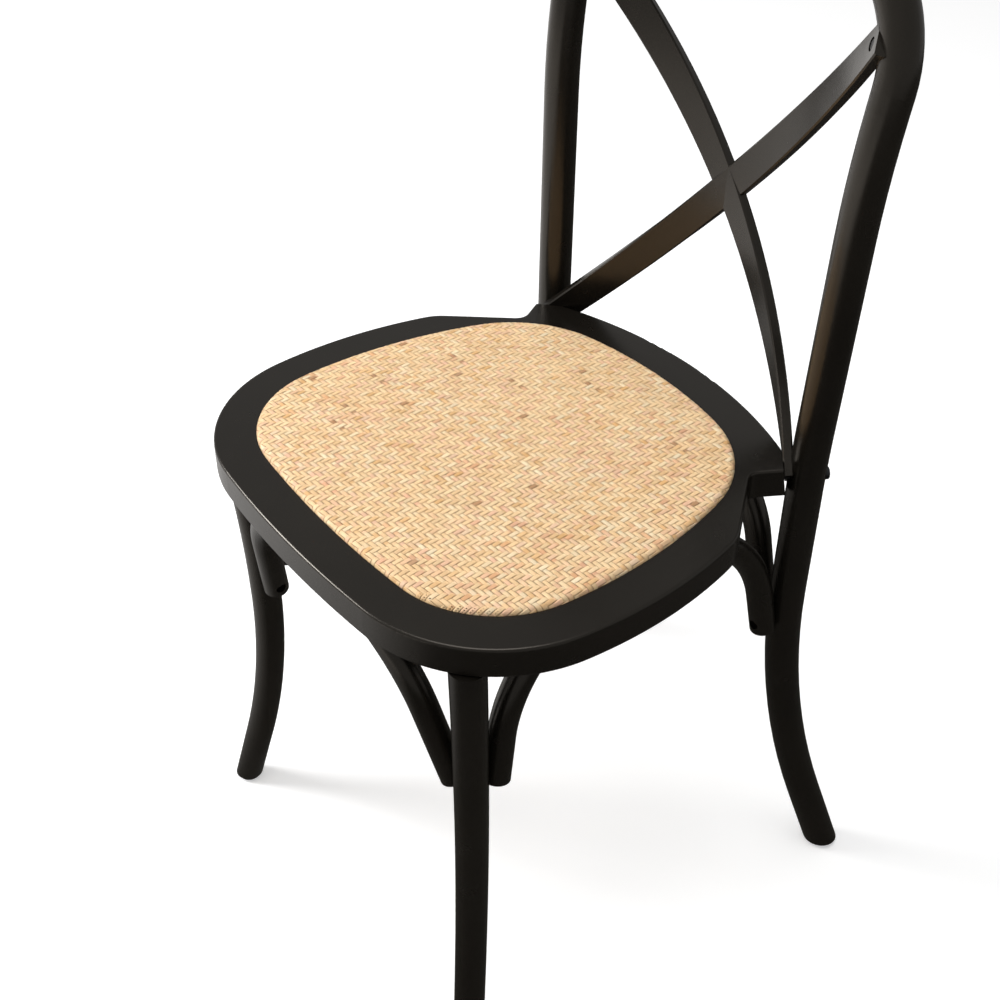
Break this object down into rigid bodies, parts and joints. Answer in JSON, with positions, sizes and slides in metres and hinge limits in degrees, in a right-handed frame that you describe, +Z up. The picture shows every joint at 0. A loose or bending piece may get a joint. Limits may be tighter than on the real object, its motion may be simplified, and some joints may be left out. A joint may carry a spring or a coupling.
{
  "type": "dining chair",
  "caption": "Bentwood dining chair with an arched back hoop, crossed bowed back slats, arched braces under the seat and an inset woven rattan seat pad.",
  "frame": {"origin": "on the floor, under the middle of the chair's bounding box", "axes": "+Z up, -Y towards the sitter's front, +X to the right as the front is faced"},
  "size_m": [0.4642, 0.4582, 0.885],
  "materials": {
    "black_wood": "satin black painted wood",
    "raw_wood": "bare wood",
    "rattan": "woven rattan",
    "black_steel": "black screw steel",
    "zinc_steel": "zinc plated steel",
    "glide_plastic": "matt black plastic"
  },
  "bodies": {
    "root": {"seat_front_rail": "black_wood", "seat_rear_rail": "black_wood", "seat_left_rail": "black_wood", "seat_right_rail": "black_wood", "seat_dowels": "raw_wood", "pad_board": "raw_wood", "rattan_pad": "rattan", "front_leg_left": "black_wood", "front_leg_right": "black_wood", "back_bow": "black_wood", "back_slat_right": "black_wood", "back_slat_left": "black_wood", "front_arch": "black_wood", "rear_arch": "black_wood", "left_arch": "black_wood", "right_arch": "black_wood", "arch_end_screws": "black_steel", "arch_top_screws": "black_steel", "ear_bolts": "black_steel", "ear_nuts": "zinc_steel", "slat_top_screws": "black_steel", "board_screws": "zinc_steel", "foot_glides": "glide_plastic"}
  },
  "joints": []
}
